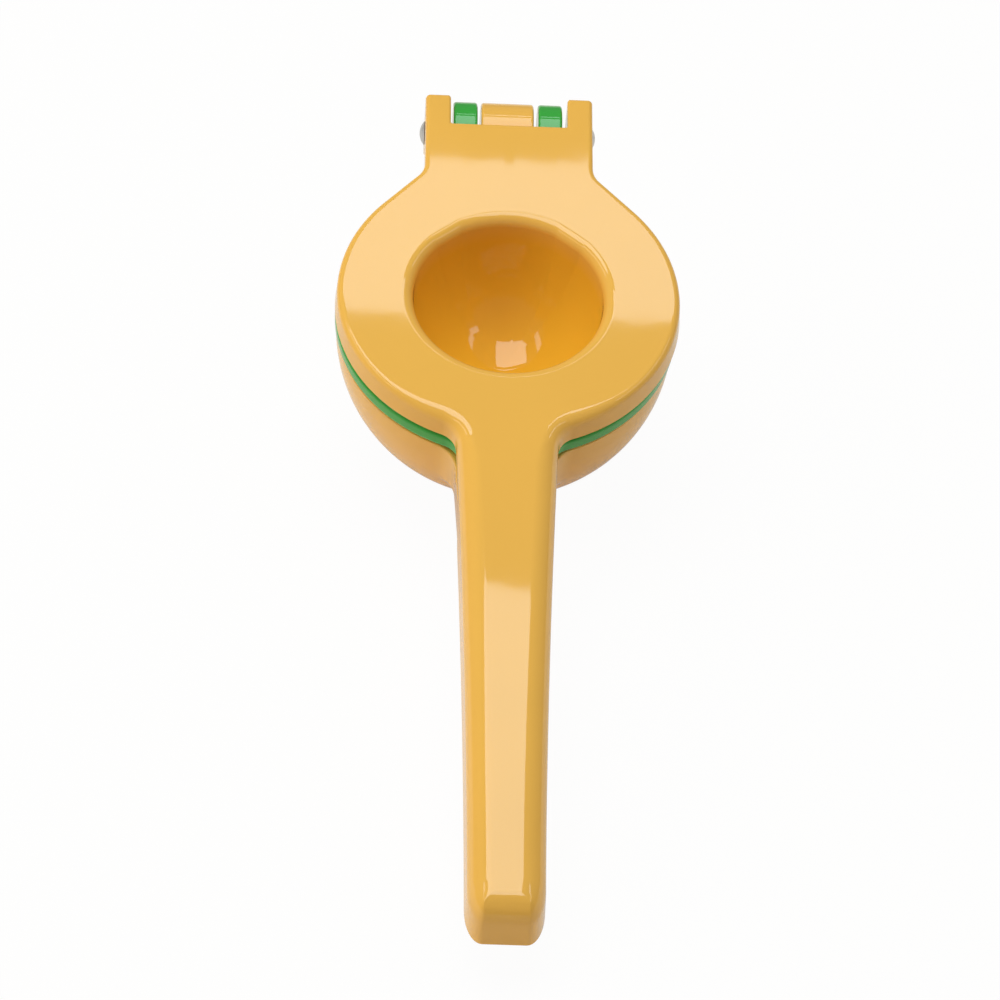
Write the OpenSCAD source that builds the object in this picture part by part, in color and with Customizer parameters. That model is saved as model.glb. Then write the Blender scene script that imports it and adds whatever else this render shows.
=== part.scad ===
// Hinged lemon squeezer: a dished press arm, a middle cup and a bowl arm that turn on one pin.
// Tool frame: the discs lie flat, the handles point to -Y and the hinge lies at +Y.
// The whole tool is then laid as it lies on a table, on the rim of its foot and the lower handle's end.

/* [Rims] */
// Radius of the bowl and of the press plate's top edge, which line up
rim_r = 36.2; // [33:0.1:40]
// How far the middle cup's flange stands out past the bowl
flange_step = 0.5; // [0:0.1:1.5]
// Thickness of the flange
flange_t = 4; // [2.5:0.1:5]
// Gap that stays between the rims when the tool is shut
seam = 0.3; // [0.1:0.1:0.6]

/* [Press plate] */
// How far the skirt's lower edge stands out past the top edge
skirt_flare = 0.8; // [0:0.1:2]
// Height of the skirt, from the top face to its lower edge
skirt_h = 6.1; // [5:0.1:7.5]
// Wall of the press plate, its skirt and its dome
plate_t = 3; // [2:0.1:3.5]
// Rounding of the plate's and the neck's top edge
rim_round = 1; // [0.5:0.1:1.6]
// Space for the peel between the dome and the middle cup
peel_space = 4.1; // [2:0.1:7]
// Rounding of the dish's lip
lip_round = 2.5; // [1.5:0.1:3.5]

/* [Middle cup] */
// Wall of the cup
cup_wall = 2.4; // [1.8:0.1:3]
// Space between the cup's side and the bowl
cup_space = 3.3; // [1.5:0.1:5]
// Space between the cup's bottom and the bowl's
drip_space = 6.2; // [3:0.1:7]
// Rounding of the flange's edges
flange_round = 1; // [0.4:0.1:1.2]
// Distance from the rim to the lifting tab's end
tab_reach = 9.8; // [7:0.1:11]
// Width of the lifting tab
tab_w = 19.4; // [12:0.2:20]
// Rounding of the tab's corners, in plan
tab_corner = 4; // [2:0.5:6]

/* [Bowl] */
// Wall of the bowl
bowl_wall = 3; // [2:0.1:3.5]
// Height of the bowl's straight band under its rim
bowl_band = 1.4; // [0.2:0.1:5]
// Radius of the bowl's flat foot
foot_r = 12; // [8:0.5:16]

/* [Drain holes] */
// Radius of the cup's holes
cup_hole_r = 1.7; // [1:0.1:2.2]
// Distance between the rings of the cup's holes
cup_ring = 6.6; // [5.5:0.1:7.5]
// Radius of the bowl's holes
bowl_hole_r = 2; // [1:0.1:2.6]
// Distance between the rings of the bowl's holes
bowl_ring = 7.6; // [6.5:0.1:8.5]

/* [Handles] */
// Distance from the disc's centre to the press handle's end
handle_len = 156.5; // [125:0.5:175]
// Width of the handle where the root fillets end
handle_root_w = 21; // [18.5:0.2:24]
// Width of the handle at its end
handle_tip_w = 15.4; // [13:0.2:17]
// How early the handles narrow: 1 is an even taper, and more narrows them nearer the root
handle_ease = 2.4; // [1:0.1:3]
// Depth of the press handle
handle_depth = 12; // [10.5:0.1:15]
// How far each side stands out at the handle's open edge
handle_draft = 0.4; // [0:0.1:1]
// Rounding of the handle's long edges
handle_round = 3.7; // [3:0.1:5]
// Rounding of the edge between the handle's flat face and its end
end_round = 2.5; // [1:0.1:4]
// Length of the rounded corners at the handle's end, in plan
end_corner_len = 7.5; // [4:0.1:10]
// Width of the rounded corners at the handle's end, in plan
end_corner_w = 3.3; // [2:0.1:4]
// Wall of the handles
handle_wall = 2.6; // [2:0.1:2.9]
// Radius of the fillets where the handles leave the discs
root_fillet = 5.5; // [4:0.1:7]
// Distance from the rim to where the handles start to deepen
step_reach = 12.8; // [11.5:0.1:16]
// Length over which the handles deepen
step_len = 12; // [8:0.5:20]
// How much shorter the lower handle is
lower_shorter = 14; // [12:0.5:25]
// How much narrower the lower handle is on each side
lower_narrower = 0.8; // [0:0.1:1.5]
// Gap between the two handles' open edges
handle_gap = 1.5; // [1:0.1:3]

/* [Hinge] */
// Distance from the disc's centre to the pin
pin_y = 51; // [49:0.1:55]
// Depth of the pin's centre below the plate's top face
pin_depth = 8; // [7.9:0.1:8.6]
// Radius of the pin's shank
pin_r = 2; // [1.5:0.1:2.5]
// Radial clearance of the pin in each knuckle
pin_fit = 0.05; // [0.02:0.01:0.09]
// Radius of the pin's domed heads
head_r = 2.65; // [2.6:0.05:3.5]
// How far the heads stand out
head_h = 1; // [0.6:0.1:1.6]
// Radius of the round knuckles
knuckle_r = 7.1; // [6:0.1:7.3]
// Width of the bowl's knuckle, in the middle
knuckle_w = 11.5; // [8:0.1:14]
// Width of each of the cup's lugs
lug_w = 5.25; // [4:0.05:7]
// Width of each of the press arm's ears
ear_w = 5.5; // [4:0.1:7]
// Side gap between the bowl's knuckle and a lug
knuckle_gap = 0.9; // [0.4:0.05:1.4]
// Side gap between a lug and an ear
ear_gap = 0.85; // [0.7:0.05:1.4]
// How far the ears reach behind the pin's axis
ear_reach = 4.9; // [4:0.1:6.5]
// Distance from the pin's axis to the back edge of the press plate
bridge_back = 3.5; // [2:0.1:4.5]
// Gap between a round knuckle and the edge that faces it
hinge_relief = 0.5; // [0.3:0.1:0.8]
// Angle off the middle line at which the press plate's straight shoulders leave its disc
shoulder = 45; // [40:1:52]
// Radius of the fillets where the necks leave the discs
neck_fillet = 6.5; // [3:0.5:8]
// Height of the bowl's neck
neck_h = 4.6; // [3:0.1:5.5]
// How far the cup sits to the side of the bowl, within the hinge's side gaps
cup_play = -0.1; // [-0.2:0.05:0.2]
// How far the press arm and its pin sit to the side of the bowl
press_play = 0.3; // [-0.5:0.05:0.5]

/* [Hidden] */
$fn = 96;
// Steps of each stretch of an outline, and the overshoot of a cut
ARC_STEPS = 24;
FILLET_STEPS = 5;
SIDE_STEPS = 8;
CORNER_STEPS = 4;
ROUND_STEPS = 4;
OVER = 1;
// How far a root is sunk into the curved wall that carries it
SINK = 0.15;
// Small step that ends the lip's curve just below the flat face
LIP_STEP = 0.04;
// Least half width that stays straight across an arm's end
END_FLAT = 0.4;

// Depths below the press plate's top face
flange_top = skirt_h + seam;
flange_low = flange_top + flange_t;
bowl_top = flange_low + seam;
bowl_mid = bowl_top + bowl_band;
foot_depth = bowl_mid + sqrt(rim_r * rim_r - foot_r * foot_r);
cup_low = foot_depth - bowl_wall - drip_space;
lower_top = handle_depth + handle_gap;
lower_bottom = lower_top + handle_depth;
neck_low = bowl_top + neck_h;

// Round walls that nest in one another, from the bowl inwards
bowl_in_r = rim_r - bowl_wall;
cup_out_r = bowl_in_r - cup_space;
cup_in_r = cup_out_r - cup_wall;
cup_mid = cup_low - cup_out_r;
dome_r = cup_in_r - peel_space;
dish_r = dome_r - plate_t;
flange_r = rim_r + flange_step;

// Sizes across the hinge, from the middle outwards
lug_in = knuckle_w / 2 + knuckle_gap;
lug_out = lug_in + lug_w;
ear_in = lug_out + ear_gap;
ear_out = ear_in + ear_w;
hinge_back = pin_y + ear_reach;
relief_r = knuckle_r + hinge_relief;
bore_r = pin_r + pin_fit;
neck_end = pin_y - relief_r;

// Rounded corners in plan, as [length, width]
end_corner = [end_corner_len, end_corner_w];
neck_corner = [rim_round, rim_round];

// Where the handles and the tab start to change and end
step_start = rim_r + step_reach;
tab_len = rim_r + tab_reach;
lower_len = handle_len - lower_shorter;

// The table touches the foot's rim and the rounded end of the lower handle: one line under both
end_dy = lower_len - end_round - foot_r;
end_dz = foot_depth - (lower_bottom - end_round);
lie_angle = atan(end_dz / end_dy) - asin(end_round / norm([end_dy, end_dz]));

// Inset of a rounded edge of radius r, at depth d below the flat face
function edge_inset(d, r) = d >= r ? 0 : r - sqrt(r * r - (r - d) * (r - d));

// Depths of the levels through a rounded edge of radius r
function round_levels(r) = [for (i = [0 : ROUND_STEPS]) r * (1 - cos(90 * i / ROUND_STEPS))];

// Depths of the levels of a stack whose top edges have the small and the large rounding
function round_depths(small, large) = concat(
    round_levels(small),
    [for (i = [1 : ROUND_STEPS]) small + (large - small) * i / ROUND_STEPS]);

function reversed(list) = [for (i = [len(list) - 1 : -1 : 0]) list[i]];
function mirrored(list) = [for (p = reversed(list)) [-p.x, p.y]];

// Angle at which an outline leaves a disc: straight into the fillet, or before it along a shoulder
function leave_angle(disc_r, half_w, fillet_r, flank) =
    max(flank, asin((half_w + fillet_r) / (disc_r + fillet_r)));

// Centre of the fillet between a disc and a side at half_w, as [along the arm, across it]
function fillet_centre(disc_r, half_w, fillet_r, flank = 0) =
    let (a = leave_angle(disc_r, half_w, fillet_r, flank), across = half_w + fillet_r)
    [(disc_r + fillet_r - across * sin(a)) / cos(a), across];

// Half width of an arm: root_w where it starts, easing to tip_w at its tip
function arm_half(along, start, tip, root_w, tip_w) =
    tip_w + (root_w - tip_w) * pow((tip - along) / (tip - start), handle_ease);

// Side and end corner of an arm from start to tip, as [along, across] points
function arm_side(start, tip, origin, root_w, tip_w, corner) =
    let (
        last = tip - corner.x,
        half = arm_half(last, origin, tip, root_w, tip_w),
        drop = min(corner.y, half - END_FLAT))
    concat(
        [for (i = [0 : SIDE_STEPS]) let (u = start + (last - start) * i / SIDE_STEPS)
            [u, arm_half(u, origin, tip, root_w, tip_w)]],
        [for (i = [1 : CORNER_STEPS]) let (a = 90 * i / CORNER_STEPS)
            [last + corner.x * sin(a), half - drop * (1 - cos(a))]]);

// Root fillet of an arm, from the disc to the arm's side, as [along, across] points
function root_arc(disc_r, half_w, fillet_r, flank) =
    let (leave = leave_angle(disc_r, half_w, fillet_r, flank),
        c = fillet_centre(disc_r, half_w, fillet_r, flank))
    concat([disc_r * [cos(leave), sin(leave)]],
        [for (i = [1 : FILLET_STEPS - 1]) let (a = 180 + leave + (90 - leave) * i / FILLET_STEPS)
            c + fillet_r * [cos(a), sin(a)]]);

// One whole side of an arm that leaves a disc
function arm_edge(disc_r, tip, root_w, tip_w, corner, fillet_r, flank = 0) =
    let (c = fillet_centre(disc_r, root_w, fillet_r, flank))
    concat(root_arc(disc_r, root_w, fillet_r, flank), arm_side(c.x, tip, c.x, root_w, tip_w, corner));

// Outline of a disc with a handle at -Y and a neck at +Y, from two arm edges
function plan(disc_r, handle_edge, neck_edge) =
    let (
        handle_side = [for (p = reversed(handle_edge)) [p.y, -p.x]],
        neck_side = [for (p = neck_edge) [p.y, p.x]],
        from = atan2(-handle_edge[0].x, handle_edge[0].y),
        to = atan2(neck_edge[0].x, neck_edge[0].y),
        arc = [for (i = [1 : ARC_STEPS - 1]) let (a = from + (to - from) * i / ARC_STEPS)
            disc_r * [cos(a), sin(a)]],
        right = concat(handle_side, arc, neck_side))
    concat(right, mirrored(right));

// Outline of one arm alone, closed straight across near the disc's centre
function strip(edge, side) =
    let (half = [for (p = edge) [p.y, side * p.x]])
    side > 0 ? concat(half, mirrored(half)) : reversed(concat(half, mirrored(half)));

// Solid through a stack of mirrored outlines, each at its depth, from the top down
module stack(outlines, depths) {
    n = len(outlines[0]);
    last = (len(depths) - 1) * n;
    points = [for (k = [0 : len(depths) - 1]) each [for (p = outlines[k]) [p.x, p.y, -depths[k]]]];
    sides = [for (k = [0 : n : last - n]) each [for (i = [0 : n - 1])
        let (a = k + i, b = k + (i + 1) % n) each [[a, b, b + n], [a, b + n, a + n]]]];
    rungs = [for (i = [0 : n / 2 - 2]) [i, i + 1, n - 2 - i, n - 1 - i]];
    lid = [for (r = rungs) reversed(r)];
    base = [for (r = rungs) [for (v = r) v + last]];
    polyhedron(points, concat(lid, sides, base));
}

// Lays a piece on the table, with the middle of the bowl's foot at the origin
module laid(play = 0) {
    rotate([lie_angle, 0, 0])
        translate([play, 0, foot_depth])
            children();
}

// Round bar along X at the pin's axis, from x0 to x1
module hinge_bar(r, x0, x1) {
    translate([x0, pin_y, -pin_depth])
        rotate([0, 90, 0])
            cylinder(h = x1 - x0, r = r);
}

// Cut for the pin, right through the hinge
module pin_bore() {
    hinge_bar(bore_r, -2 * ear_out, 2 * ear_out);
}

// Wedge in the side view that parts the two handles: flat at depth near the disc, then falling by drop
module parting(depth, drop, up) {
    far = up ? 2 * foot_depth : -2 * foot_depth;
    back = handle_len + OVER;
    rotate([90, 0, 90])
        translate([0, 0, -foot_depth])
            linear_extrude(2 * foot_depth)
                polygon([[back, -depth], [-step_start, -depth], [-step_start - step_len, -depth - drop],
                    [-back, -depth - drop], [-back, far], [back, far]]);
}

// Cut for one flat-faced handle channel, open away from its flat face
module channel(start, tip, origin, root_w, tip_w, depth) {
    inner = handle_round - handle_wall;
    depths = concat([for (d = round_levels(inner)) handle_wall + d], [depth + OVER]);
    corner = end_corner - [handle_wall, handle_wall] / 2;
    stack([for (d = depths) let (
            in = handle_wall + edge_inset(d - handle_wall, inner) - handle_draft * d / handle_depth,
            edge = arm_side(start, tip - handle_wall, origin, root_w - in, tip_w - in, corner))
        strip(edge, -1)], depths);
}

// --- Press arm ---

// Outline of the press arm at a depth below its top face
function press_plan(d) =
    let (
        disc = rim_r + skirt_flare * d / skirt_h - edge_inset(d, rim_round),
        side = edge_inset(d, handle_round) - handle_draft * d / handle_depth,
        tip = handle_len - edge_inset(d, end_round),
        neck = ear_out - edge_inset(d, rim_round),
        back = hinge_back - edge_inset(d, rim_round))
    plan(disc,
        arm_edge(disc, tip, handle_root_w / 2 - side, handle_tip_w / 2 - side, end_corner, root_fillet),
        arm_edge(disc, back, neck, neck, neck_corner, neck_fillet, shoulder));

// The arm's outer form before it is hollowed
module press_body() {
    depths = concat(round_depths(rim_round, handle_round), [skirt_h, handle_depth]);
    difference() {
        stack([for (d = depths) press_plan(d)], depths);
        parting(skirt_h, handle_depth - skirt_h, false);
    }
}

// Ears beside the knuckles: flat at the back, round below the pin
module press_ears() {
    for (side = [-1, 1])
        translate([side > 0 ? ear_in : -ear_out, pin_y, -pin_depth])
            rotate([90, 0, 90])
                linear_extrude(ear_w) {
                    circle(ear_reach);
                    translate([-ear_reach, 0])
                        square([2 * ear_reach, pin_depth - plate_t / 2]);
                }
}

// Half section of the dish's hollow, up through its rounded lip
module dish_section() {
    intersection() {
        translate([0, -lip_round])
            circle(dish_r);
        translate([0, -lip_round - dish_r])
            square(dish_r);
    }
    difference() {
        translate([0, -lip_round])
            square([dish_r + lip_round, lip_round + OVER]);
        translate([dish_r + lip_round, -lip_round - LIP_STEP])
            circle(lip_round);
    }
}

// Hollow under the plate, from the skirt's wall to the neck's sides
module press_pocket() {
    half = ear_out - plate_t;
    translate([0, 0, -skirt_h - OVER])
        cylinder(h = skirt_h - plate_t + OVER, r = rim_r - plate_t);
    translate([-half, 0, -skirt_h - OVER])
        cube([2 * half, neck_end - plate_t, skirt_h - plate_t + OVER]);
}

module press_arm() {
    origin = fillet_centre(rim_r, handle_root_w / 2, root_fillet).x;
    color("goldenrod")
        laid(press_play)
            difference() {
                union() {
                    difference() {
                        press_body();
                        press_pocket();
                        channel(rim_r + skirt_flare + plate_t / 2, handle_len, origin,
                            handle_root_w / 2, handle_tip_w / 2, handle_depth);
                    }
                    press_ears();
                    round_bottom(dome_r, plate_t / 2, lip_round, lip_round + dome_r);
                }
                rotate_extrude()
                    dish_section();
                translate([-ear_in, pin_y - bridge_back, -pin_depth - relief_r])
                    cube([2 * ear_in, 2 * relief_r, pin_depth + relief_r + OVER]);
                hinge_bar(relief_r, -ear_in, ear_in);
                pin_bore();
            }
}

// --- Middle cup ---

// Rings of drain holes, six more in each ring; ring 0 is the one in the middle
module hole_rings(first, last, spacing, hole_r, depth) {
    for (ring = [first : last]) {
        count = max(1, 6 * ring);
        for (i = [0 : count - 1])
            rotate(360 * i / count)
                translate([ring * spacing, 0, -depth])
                    cylinder(h = depth, r = hole_r);
    }
}

// Round-bottomed solid of radius r, from its top to its depth, flat across its bottom where it is cut
module round_bottom(r, top, mid, bottom) {
    rotate_extrude()
        intersection() {
            union() {
                translate([0, -mid])
                    circle(r);
                translate([0, -mid])
                    square([r, mid - top]);
            }
            translate([0, -bottom])
                square([r, bottom - top]);
        }
}

// Outline of the flange with its neck and its lifting tab, drawn in by an inset
function flange_plan(inset) =
    let (disc = flange_r - inset, tab = tab_w / 2 - inset, neck = lug_out - inset, corner = [tab_corner, tab_corner])
    plan(disc,
        arm_edge(disc, tab_len - inset, tab, tab, corner, root_fillet),
        arm_edge(disc, neck_end - inset, neck, neck, neck_corner, neck_fillet));

module cup_flange() {
    rounding = round_levels(flange_round);
    depths = concat(rounding, [for (d = reversed(rounding)) flange_t - d]);
    insets = [for (d = depths) edge_inset(min(d, flange_t - d), flange_round)];
    translate([0, 0, -flange_top])
        stack([for (i = insets) flange_plan(i)], depths);
}

module cup_lugs() {
    for (side = [-1, 1]) {
        x0 = side > 0 ? lug_in : -lug_out;
        hinge_bar(knuckle_r, x0, x0 + lug_w);
        translate([x0, neck_end - OVER, -flange_low])
            cube([lug_w, relief_r + OVER, flange_t]);
    }
}

module middle_cup() {
    color("forestgreen")
        laid(cup_play)
            difference() {
                union() {
                    cup_flange();
                    cup_lugs();
                    round_bottom(cup_out_r, flange_top + flange_round, cup_mid, cup_mid + cup_out_r);
                }
                round_bottom(cup_in_r, flange_top - OVER, cup_mid, cup_mid + cup_in_r);
                hole_rings(0, 2, cup_ring, cup_hole_r, foot_depth);
                pin_bore();
            }
}

// --- Bowl arm ---

// Radius of the bowl's outside at a depth, a little inside its wall
function bowl_at(d) = (d < bowl_mid ? rim_r : sqrt(rim_r * rim_r - pow(d - bowl_mid, 2))) - SINK;

// Lower handle, flat face down, with its root fillets on the bowl's side
module lower_handle() {
    root = handle_root_w / 2 - lower_narrower;
    tip = handle_tip_w / 2 - lower_narrower;
    origin = fillet_centre(rim_r, root, root_fillet).x;
    heights = concat(round_depths(rim_round, handle_round), [handle_depth, lower_bottom - bowl_top]);
    difference() {
        translate([0, 0, -lower_bottom])
            mirror([0, 0, 1])
                stack([for (h = heights) let (
                        side = edge_inset(h, handle_round) - handle_draft * h / handle_depth,
                        end = lower_len - edge_inset(h, end_round),
                        disc = bowl_at(lower_bottom - h))
                    strip(arm_edge(disc, end, root - side, tip - side, end_corner, root_fillet), -1)], heights);
        parting(bowl_top, lower_top - bowl_top, true);
        translate([0, 0, -lower_bottom])
            mirror([0, 0, 1])
                channel(rim_r + bowl_wall / 2, lower_len, origin, root, tip, lower_bottom - bowl_top);
    }
}

// Neck from the bowl to the middle knuckle
module bowl_neck() {
    heights = concat(round_levels(rim_round), [neck_h]);
    translate([0, 0, -neck_low])
        mirror([0, 0, 1])
            stack([for (h = heights) let (w = lug_out - edge_inset(h, rim_round))
                strip(arm_edge(bowl_at(neck_low - h), neck_end, w, w, neck_corner, neck_fillet), 1)],
                heights);
    hinge_bar(knuckle_r, -knuckle_w / 2, knuckle_w / 2);
    translate([-knuckle_w / 2, neck_end - OVER, -pin_depth - knuckle_r])
        cube([knuckle_w, relief_r + OVER, pin_depth + knuckle_r - bowl_top]);
}

module bowl_arm() {
    color("goldenrod")
        laid()
            difference() {
                union() {
                    round_bottom(rim_r, bowl_top, bowl_mid, foot_depth);
                    lower_handle();
                    bowl_neck();
                }
                round_bottom(bowl_in_r, bowl_top - OVER, bowl_mid, foot_depth - bowl_wall);
                hole_rings(1, 2, bowl_ring, bowl_hole_r, foot_depth + OVER);
                pin_bore();
            }
}

// --- Pin ---

// Domed head at one end of the pin
module pin_head() {
    dome_r = (head_r * head_r + head_h * head_h) / (2 * head_h);
    translate([0, 0, head_h - dome_r])
        intersection() {
            sphere(dome_r);
            translate([0, 0, dome_r - head_h])
                cylinder(h = head_h, r = head_r);
        }
}

module hinge_pin() {
    half = ear_out + pin_fit;
    color("silver")
        laid(press_play) {
            hinge_bar(pin_r, -half, half);
            for (side = [-1, 1])
                translate([side * half, pin_y, -pin_depth])
                    rotate([0, side * 90, 0])
                        pin_head();
        }
}

bowl_arm();
middle_cup();
press_arm();
hinge_pin();
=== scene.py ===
"""Looks of a hinged lemon squeezer: press arm, middle cup, bowl arm and hinge pin.

Every piece is modelled with the discs flat, in millimetres, and is then laid down in
metres as the tool lies on a table: on the rim of its foot and the lower handle's end.
"""

from __future__ import annotations

import logging
import math
from dataclasses import dataclass, field, replace
from enum import Enum
from typing import Callable, Sequence

import bmesh  # noqa: E402
import bpy  # noqa: E402
from mathutils import Matrix, Quaternion, Vector  # noqa: E402

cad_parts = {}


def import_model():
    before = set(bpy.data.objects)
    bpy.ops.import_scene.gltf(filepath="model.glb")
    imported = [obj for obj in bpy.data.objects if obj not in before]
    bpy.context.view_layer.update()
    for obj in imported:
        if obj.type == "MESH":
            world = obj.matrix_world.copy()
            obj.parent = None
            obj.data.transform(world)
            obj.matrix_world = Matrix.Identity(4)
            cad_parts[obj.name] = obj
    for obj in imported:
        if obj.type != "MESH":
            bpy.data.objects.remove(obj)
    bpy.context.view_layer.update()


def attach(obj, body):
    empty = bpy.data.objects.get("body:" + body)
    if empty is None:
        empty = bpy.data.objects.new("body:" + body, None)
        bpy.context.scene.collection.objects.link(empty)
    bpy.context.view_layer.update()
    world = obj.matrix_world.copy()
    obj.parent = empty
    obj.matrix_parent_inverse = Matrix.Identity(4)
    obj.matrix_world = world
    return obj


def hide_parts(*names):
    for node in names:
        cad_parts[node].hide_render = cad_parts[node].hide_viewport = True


LOG = logging.getLogger("squeezer")
MM = 0.001
WELD = 0.002
SLIVER = 0.003
SPECK = 0.001
OVER = 1.0
HAIR = 0.01

Point = tuple[float, float]
Spot = tuple[float, float, float]
Colour = tuple[float, float, float]
Ring = list[Spot]


def round_inset(depth: float, radius: float) -> float:
    """Works out how far a rounded edge stands back.

    Args:
        depth: Depth below its flat face.
        radius: Radius of the rounding.

    Returns:
        The distance behind the side.
    """
    if depth >= radius:
        return 0.0
    return radius - math.sqrt(radius * radius - (radius - depth) ** 2)


def shares(steps: int, first: int = 0) -> list[float]:
    """Returns equal steps from 0 to 1, or from a later step."""
    return [k / steps for k in range(first, steps + 1)]


def quarter(steps: int, first: int = 1) -> list[float]:
    """Returns the angles of a quarter turn in equal steps, in radians."""
    return [math.pi / 2 * k / steps for k in range(first, steps + 1)]


def rounding(radius: float, steps: int, first: int = 0) -> list[Point]:
    """Lists how far a rounded edge stands in and down, from its flat face to its side."""
    return [(radius * (1 - math.sin(a)), radius * (1 - math.cos(a))) for a in quarter(steps, first)]


def round_depths(small: float, large: float, steps: int = 6) -> list[float]:
    """Lists the depths of rings through two roundings that share a flat face.

    Args:
        small: Radius of the smaller rounding.
        large: Radius of the larger rounding.
        steps: Rings through the smaller one.

    Returns:
        Depths from the flat face to the end of the larger rounding.
    """
    near = [small * (1 - math.cos(a)) for a in quarter(steps, 0)]
    near[1:1] = [near[1] / 4, near[1] / 2]
    far = [small + (large - small) * k / steps for k in range(1, steps + 1)]
    return near + far


def change(place: float, span: Point) -> float:
    """Returns a soft step from 0 to 1 over a span, given by its start and length."""
    t = min(max((place - span[0]) / span[1], 0.0), 1.0)
    return t * t * (3 - 2 * t)


@dataclass(frozen=True)
class Layout:
    """Sizes that the pieces share, in millimetres.

    Depths count down from the press plate's top face, and the hinge lies at +Y.
    """

    rim: float = 36.2
    skirt: float = 6.1
    seam: float = 0.3
    flange: float = 4.0
    band: float = 1.4
    foot: float = 12.0
    lower_len: float = 142.5
    handle_depth: float = 12.0
    handle_round: float = 3.7
    end_round: float = 2.5
    lower_top: float = 13.5
    step: Point = (49.0, 12.0)
    pin_y: float = 51.0
    pin_depth: float = 8.0
    knuckle: float = 7.09
    knuckle_half: float = 5.75
    lug_in: float = 6.65
    lug_out: float = 11.9
    ear_in: float = 12.75
    ear_out: float = 18.25
    relief: float = 7.6
    bore: float = 2.05
    clear: float = 0.002

    @property
    def flange_top(self) -> float:
        """Depth of the flange's upper face."""
        return self.skirt + self.seam

    @property
    def flange_low(self) -> float:
        """Depth of the flange's lower face."""
        return self.flange_top + self.flange

    @property
    def bowl_top(self) -> float:
        """Depth of the bowl's rim."""
        return self.flange_low + self.seam

    @property
    def bowl_mid(self) -> float:
        """Depth of the middle of the bowl's round."""
        return self.bowl_top + self.band

    @property
    def foot_depth(self) -> float:
        """Depth of the flat foot."""
        return self.bowl_mid + math.sqrt(self.rim**2 - self.foot**2)

    @property
    def lower_bottom(self) -> float:
        """Depth of the lower handle's flat face."""
        return self.lower_top + self.handle_depth

    @property
    def neck_end(self) -> float:
        """Distance at which the flange's and the bowl's necks end."""
        return self.pin_y - self.relief

    @property
    def pin_middle(self) -> Spot:
        """The middle of the pin."""
        return (0.0, self.pin_y, -self.pin_depth)

    @property
    def lie_angle(self) -> float:
        """Angle between the discs and the table, in radians."""
        dy = self.lower_len - self.end_round - self.foot
        dz = self.foot_depth - (self.lower_bottom - self.end_round)
        return math.atan2(dz, dy) - math.asin(self.end_round / math.hypot(dy, dz))

    @property
    def table(self) -> float:
        """Height of the table under the foot's middle, in metres."""
        return -self.foot * math.sin(self.lie_angle) * MM

    def laid(self, play: float = 0.0) -> Matrix:
        """Places a piece as the tool lies.

        Args:
            play: How far the piece sits to the side, in millimetres.

        Returns:
            The matrix from the flat tool in millimetres to the laid one in metres.
        """
        lift = Matrix.Translation((play, 0.0, self.foot_depth + self.clear))
        turn = Matrix.Rotation(self.lie_angle, 4, "X")
        return Matrix.Scale(MM, 4) @ turn @ lift


@dataclass(frozen=True)
class Arm:
    """Half of the outline of an arm that leaves a disc.

    Points are given as (along, across), from the disc to the middle of the arm's end.
    """

    tip: float
    root: float
    end: float
    corner: Point
    fillet: float
    shoulder: float = 0.0
    ease: float = 1.0
    flow: float = 1.0
    side_steps: int = 8
    end_steps: int = 0
    fillet_steps: int = 12
    corner_steps: int = 10
    corner_left: float = 0.15
    end_left: float = 0.4
    fillet_left: float = 1.0

    def drawn_in(self, side: float, tip: float) -> "Arm":
        """Moves the sides and the end inwards, so that corners tighten and the root's fillet widens.

        Args:
            side: How far the sides move.
            tip: How far the end moves.

        Returns:
            The changed arm.
        """
        (long, wide), left = self.corner, self.corner_left
        corner = (max(long - tip, left * long), max(wide - side, left * wide))
        fillet = max(self.fillet + self.flow * side, self.fillet_left)
        root, end = self.root - side, self.end - side
        return replace(self, tip=self.tip - tip, root=root, end=end, corner=corner, fillet=fillet)

    def half(self, along: float, origin: float) -> float:
        """Returns the half width at a distance from the disc's centre."""
        share = (self.tip - along) / (self.tip - origin)
        return self.end + (self.root - self.end) * share**self.ease

    def side(self, start: float, origin: float) -> list[Point]:
        """Lists the points of the side, the end corner and the end.

        Args:
            start: Where the side starts.
            origin: Where the arm has its root width.

        Returns:
            Points from the start to the middle of the end.
        """
        last = self.tip - self.corner[0]
        run = [start + (last - start) * k / self.side_steps for k in range(self.side_steps + 1)]
        points = [(u, self.half(u, origin)) for u in run]
        wide = points[-1][1]
        narrow = min(self.corner[1], wide - self.end_left)
        points += [
            (last + self.corner[0] * math.sin(a), wide - narrow * (1 - math.cos(a)))
            for a in quarter(self.corner_steps)
        ]
        flat = points[-1][1]
        points += [
            (self.tip, flat * (1 - k / (self.end_steps + 0.5)))
            for k in range(1, self.end_steps + 1)
        ]
        return points

    def edge(self, disc: float) -> list[Point]:
        """Draws the whole half outline of the arm on a disc.

        Args:
            disc: Radius of the disc.

        Returns:
            Points from the disc to the middle of the end.
        """
        across = self.root + self.fillet
        leave = max(math.radians(self.shoulder), math.asin(across / (disc + self.fillet)))
        along = (disc + self.fillet - across * math.sin(leave)) / math.cos(leave)
        points = [(disc * math.cos(leave), disc * math.sin(leave))]
        for k in range(1, self.fillet_steps):
            a = math.pi + leave + (math.pi / 2 - leave) * k / self.fillet_steps
            points.append((along + self.fillet * math.cos(a), across + self.fillet * math.sin(a)))
        return points + self.side(along, along)


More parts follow.
